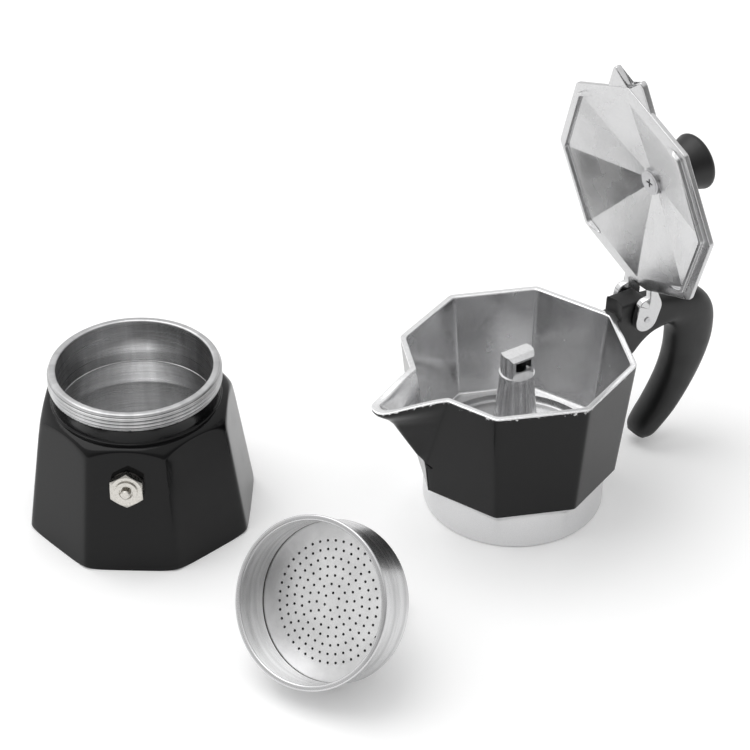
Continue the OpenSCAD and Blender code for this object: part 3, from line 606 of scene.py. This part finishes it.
def platePiece(name, outline, low, high, bend, place, body, look):
    # an outline in the ground plane, seen from above anticlockwise, raised from low to high;
    # its edges follow a quarter circle: inset = bend (1 - cos), depth = bend (1 - sin)
    ahead = np.roll(outline, -1, 0) - np.roll(outline, 1, 0)
    ahead /= np.linalg.norm(ahead, axis=1)[:, None] + 1e-9
    outward = np.stack([ahead[:, 1], -ahead[:, 0]], 1)
    quarter = np.linspace(0, np.pi / 2, 6)
    inset = bend * np.concatenate([1 - np.cos(quarter[::-1]), 1 - np.cos(quarter)])
    height = np.concatenate([low + bend * (1 - np.sin(quarter[::-1])), high - bend * (1 - np.sin(quarter))])
    x = outline[None, :, 0] - inset[:, None] * outward[None, :, 0]
    y = outline[None, :, 1] - inset[:, None] * outward[None, :, 1]
    ob = gridMesh(name, x, y, height[:, None] + 0 * x, place, body, 0, [look])
    return ob


funnelForm = {
    "bore": 28.5, "outer": 29.1, "lip": 30.75, "wallDepth": 20.4, "grooveDepth": 15.0,
    "stem": 5.0, "stemBore": 4.35, "length": 56.5,
}


def makeFunnel(looks):
    # stem, cone, wall and lip, then the bore with a groove round the plate, turned about the funnel's axis
    f = funnelForm
    low, end, groove = -f["wallDepth"], -f["length"], -f["grooveDepth"]
    bore, outer, lip, stem, stemBore = (f[key] for key in ("bore", "outer", "lip", "stem", "stemBore"))
    outside = [(stemBore, end, 0.1), (stem, end, 0.15), (stem, low - 5.2, 1.2), (28.0, low, 0.8),
               (outer, low + 1.1, 0.6), (outer, -1.45, 0.5), (lip, -1.35, 0.75), (lip, 0.0, 0.75),
               (bore + 0.1, 0.0, 0.8), (bore, -2.2, 0.6)]
    inside = [(bore, groove, 0.05), (bore + 0.35, groove - 0.2, 0.05), (bore + 0.35, groove - 0.5, 0.05),
              (bore, groove - 0.7, 0.05), (bore, low + 1.5, 0.5), (27.3, low + 0.6, 0.6),
              (4.4, low - 4.4, 0.8), (stemBore, low - 8, 0.5)]
    profile = roundedPath(outside + inside, 7, closed=True)
    # the groove and the closed side behind it get a dark material: painted shade where the plate's edge and
    # the enclosed cone lie in shadow
    behind = np.arange(len(profile)) > len(profile) // 3
    shadedRows = behind & (profile[:, 0] < bore + 0.4) & (profile[:, 1] < groove + 0.1)
    turnedPiece("funnelBody", profile, funnelPlace, "funnel", [looks["sheet"], looks["funnelShade"]],
                ["funnel_basket", "funnel_stem"], shadedRows.astype(int), loop=True)
    print("funnel made")


lidForm = {
    "edge": 45.6, "base": 67.0, "brim": 2.0, "top": 78.2, "flat": 6.6, "under": 76.1, "lip": 42.1,
    "lipHeight": 1.5, "lipHalf": 31.0, "notch": 43.3, "sharp": 200.0,
    "earInner": 5.35, "earOuter": 8.2, "earNotch": 45.8,
    # the three circles that an ear is drawn round: distance from the axis, height, radius
    "earCircles": [(55.0, 65.0, 5.2), (50.6, 66.8, 5.6), (41.6, 68.5, 1.4)],
}


def makeLid(looks):
    # pyramid of eight flats above and below; radius = side radius at each row's corner distance
    f = lidForm
    base, edge, lip = f["base"], f["edge"], f["lip"]
    lipEnd, brim = base - f["lipHeight"], base + f["brim"]
    path = roundedPath([
        (1.5, f["under"]), (5.4, f["under"], 0.5), (12, 74.37), (20, 72.25), (28, 70.13), (36, 68.0),
        (39.8, base, 0.5), (lip - 1.55, base, 0.2), (lip - 1.5, lipEnd, 0.3), (lip, lipEnd, 0.3),
        (lip + 0.05, base, 0.25), (edge, base, 0.4), (edge, brim, 0.5), (edge - 1, brim + 0.05, 0.3),
        (38, 70.6), (30, 72.53), (22, 74.47), (14, 76.4), (f["flat"], f["top"], 0.6), (1.5, f["top"])], 6)
    angles = columnAngles()[None, :]
    corner, z = path[:, :1], path[:, 1:] + 0 * angles
    r = sideRadius(angles, corner * math.cos(halfCorner), f["sharp"])
    # straight edge that clears the handle's head
    ahead = np.abs((angles + np.pi) % (2 * np.pi) - np.pi)
    line = (f["notch"] - 0.45 * (edge - corner)) / np.cos(np.minimum(ahead, 1.2))
    r = softMin(r, np.where(ahead < 0.6, line, 99.0), 300.0)
    along = np.abs(r * np.cos(angles))
    gone = np.clip((along - f["lipHalf"]) / 0.9 + 0.5, 0, 1)
    z = np.where(z < base, z + (base - z) * gone * gone * (3 - 2 * gone), z)
    ob = gridMesh("lidBody", r * np.cos(angles), r * np.sin(angles), z, lidPlace, "lid", 0,
                  [looks["lidMetal"]])
    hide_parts("lid_shell")
    # two points over the spout
    points = [(-38.5, 13.4, 1.0), (-50, 8.7, 2.0), (-51.1, 7.2, 0.9), (-50.2, 6.0, 0.9), (-45.4, 0, 1.6),
              (-50.2, -6.0, 0.9), (-51.1, -7.2, 0.9), (-50, -8.7, 2.0), (-38.5, -13.4, 1.0)]
    platePiece("lidPoints", roundedPath(points, 7, closed=True), base + 0.3, base + 2.9, 0.6, lidPlace, "lid",
               looks["lidMetal"])
    # ears: for every direction the farthest point of the three circles
    circles = np.array(f["earCircles"])
    turn = np.linspace(0, 2 * np.pi, 96, endpoint=False)
    way = np.stack([np.cos(turn), np.sin(turn)], 1)
    which = np.argmax(way @ circles[:, :2].T + circles[:, 2], 1)
    outline = circles[which, :2] + circles[which, 2:] * way
    # a notch keeps the ears off the rim: its corner, then the second circle from where it leaves the notch
    last = np.flatnonzero(which == 2)[-1] + 1
    low = np.radians(np.linspace(211, 236, 6))
    arc = circles[1, :2] + circles[1, 2] * np.stack([np.cos(low), np.sin(low)], 1)
    outline = np.vstack([outline[:last], [(f["earNotch"], base)], arc, outline[last:]])
    upright = turnAbout("X", 90)
    inner, outer = f["earInner"], f["earOuter"]
    for side, low, high in (("Left", -outer, -inner), ("Right", inner, outer)):
        platePiece("lidEar" + side, outline, low, high, 0.45, lidPlace @ upright, "lid", looks["lidMetal"])
    print("lid made", len(ob.data.polygons))


knobForm = {"foot": 5.7, "waist": 5.9, "wide": 11.4, "height": 20.4, "crown": 9.6}


def makeKnob(looks):
    # the outline of a trumpet turned about the lid's axis
    k = knobForm
    top = k["height"]
    profile = roundedPath([(0.5, 0), (k["foot"], 0, 0.5), (k["waist"], 3.4, 2), (7.5, 9.0, 3),
                           (10.4, 15.8, 3), (k["wide"], top - 1.8, 1.4), (k["crown"], top, 1.6),
                           (4, top, 1), (0.5, top)], 8)
    place = lidPlace @ Matrix.Translation((0, 0, lidForm["top"]))
    turnedPiece("knobBody", profile, place, "lid", [looks["bakelite"]], ["lid_knob"])
    print("knob made")


handleForm = {
    # stations from the pot round to the end of the grip:
    # outer x, z, inner x, z, half width, squareness of the section
    "stations": [
        (43.95, 66.2, 41.85, 46.5, 5.0, 14), (45.6, 66.9, 45.2, 46.5, 5.0, 14),
        (46.2, 67.3, 45.8, 46.5, 5.0, 14), (46.3, 72.2, 46.2, 46.6, 5.0, 14),
        (46.8, 72.4, 46.6, 46.7, 5.0, 14), (51.5, 72.4, 49.0, 47.1, 5.0, 14),
        (56.2, 72.4, 52.0, 48.2, 5.0, 12), (57.2, 71.6, 53.0, 49.0, 5.0, 10),
        (58.6, 70.0, 55.0, 50.6, 5.0, 7), (62.0, 69.75, 57.6, 52.2, 5.0, 5),
        (67.0, 69.6, 61.0, 53.9, 5.4, 3.6), (76.2, 69.0, 65.5, 55.2, 6.4, 2.9),
        (83.2, 66.8, 69.2, 55.0, 6.9, 2.6), (88.6, 62.6, 71.6, 53.0, 7.1, 2.5),
        (92.2, 56.4, 72.7, 50.0, 7.2, 2.5), (93.2, 49.0, 73.0, 46.0, 7.2, 2.5),
        (92.2, 41.0, 72.6, 38.6, 7.2, 2.5), (88.4, 31.4, 71.2, 31.6, 7.2, 2.5),
        (83.0, 22.4, 68.4, 24.4, 7.2, 2.5), (76.4, 13.6, 64.6, 17.6, 7.1, 2.5),
        (69.6, 6.8, 60.2, 11.8, 6.6, 2.5), (65.6, 3.6, 58.2, 8.4, 5.8, 2.6),
        (62.0, 2.6, 57.8, 5.6, 4.0, 2.6)],
    "perStation": 7, "around": 56,
}


def smoothStations(rows, per):
    # cubic through the stations: position and slope of half the step between the neighbours
    p = np.vstack([2 * rows[0] - rows[1], rows, 2 * rows[-1] - rows[-2]])
    u = np.linspace(0, 1, per, endpoint=False)[None, :, None]
    a, b, c, d = (p[k:len(p) - 3 + k, None] for k in range(4))
    square, cube = 2 * a - 5 * b + 4 * c - d, 3 * b - a - 3 * c + d
    curve = 0.5 * (2 * b + (c - a) * u + square * u ** 2 + cube * u ** 3)
    return np.vstack([curve.reshape(-1, rows.shape[1]), rows[-1:]])


def makeHandle(looks):
    # sections between an outer and an inner line: |depth|^n + |width|^n = 1 with n from square to round
    f = handleForm
    st = smoothStations(np.array(f["stations"], float), f["perStation"])
    around = np.linspace(0, 2 * np.pi, f["around"], endpoint=False)[None, :]
    power = 2 / st[:, 5:6]
    depth = np.sign(np.cos(around)) * np.abs(np.cos(around)) ** power
    width = np.sign(np.sin(around)) * np.abs(np.sin(around)) ** power
    mid, half = (st[:, 0:2] + st[:, 2:4]) / 2, (st[:, 0:2] - st[:, 2:4]) / 2
    x = mid[:, :1] + half[:, :1] * depth
    z = mid[:, 1:] + half[:, 1:] * depth
    y = st[:, 4:5] * width
    # the face on the pot follows its corner
    back = np.clip((48 - mid[:, :1]) / 3, 0, 1)
    x = x - back * np.abs(y) * math.tan(halfCorner)
    # a small first ring keeps the end face flat
    small = 0.02
    x, y, z = (np.vstack([(1 - small) * middle + small * rows[:1], rows])
               for middle, rows in ((mid[0, 0], x), (0, y), (mid[0, 1], z)))
    ob = gridMesh("handleBody", x, y, z, potPlace, "top_pot", 0, [looks["bakelite"]])
    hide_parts("handle")
    print("handle made", len(ob.data.polygons))


keptLooks = {
    "valve_seal": "fibre", "valve_body": "nickel", "valve_ring": "nickel", "valve_pin": "nickel",
    "funnel_plate": "plate", "collector_column": "potInside", "seal_ring": "rubber", "filter_plate": "plate",
    "handle_pin": "steel", "hinge_pin": "steel", "knob_insert": "brass", "knob_washer": "steel",
    "knob_screw": "steel",
}


def dressKept(looks):
    for node, look in keptLooks.items():
        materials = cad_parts[node].data.materials
        materials.clear()
        materials.append(looks[look])


def makeStage():
    # a matt floor, and a sky whose level depends on the direction only
    mesh = bpy.data.meshes.new("floor")
    far = studio["floorHalf"]
    mesh.from_pydata([(-far, -far, 0), (far, -far, 0), (far, far, 0), (-far, far, 0)], [], [(0, 1, 2, 3)])
    mat = bpy.data.materials.new("floorMatt")
    mat.use_nodes = True
    tree = mat.node_tree
    tree.nodes.clear()
    matt = addSurface(tree, studio["floorColour"], 0.9, 0.0, Emission_Color=(1, 1, 1, 1),
                      Emission_Strength=studio["floorGlow"])
    tree.links.new(matt, tree.nodes.new("ShaderNodeOutputMaterial").inputs[0])
    mesh.materials.append(mat)
    ob = bpy.data.objects.new("floor", mesh)
    bpy.context.collection.objects.link(ob)
    world = bpy.data.worlds.new("studio")
    bpy.context.scene.world = world
    world.use_nodes = True
    tree = world.node_tree
    tree.nodes.clear()
    way = addNode(tree, "TexCoord").outputs["Generated"]
    parts = addNode(tree, "SeparateXYZ", Vector=way)
    toBack = remap(tree, parts.outputs[1], -0.7, 0.5, studio["skyFront"], studio["skyBack"])
    toBack = maths(tree, "MULTIPLY", toBack, remap(tree, parts.outputs[0], 0.1, 0.8, 1.0, studio["skyRight"]))
    toLeft = remap(tree, parts.outputs[0], -0.35, -0.8, 1.0, studio["skyLeft"])
    around = maths(tree, "MULTIPLY", toBack, toLeft)
    upwards = remap(tree, parts.outputs[2], 0.35, 0.9)
    mixed = addNode(tree, "Mix", {"data_type": "FLOAT"}, i0=upwards, i2=around, i3=studio["skyTop"])
    level = mixed.outputs[0]
    sky = addNode(tree, "Background", Strength=level, Color=(1, 1, 1, 1))
    tree.links.new(sky.outputs[0], tree.nodes.new("ShaderNodeOutputWorld").inputs[0])


makeCamera()
makeStage()
makeAreaLight("overheadLight", studio["lampAt"], studio["lampAim"], studio["lampSize"], studio["lampPower"])
bpy.context.scene.view_settings.view_transform = "Standard"
print("camera and lights made")
looks = makeMaterials()
makeBoiler(looks)
makePot(looks)
makeFunnel(looks)
makeLid(looks)
makeKnob(looks)
makeHandle(looks)
dressKept(looks)
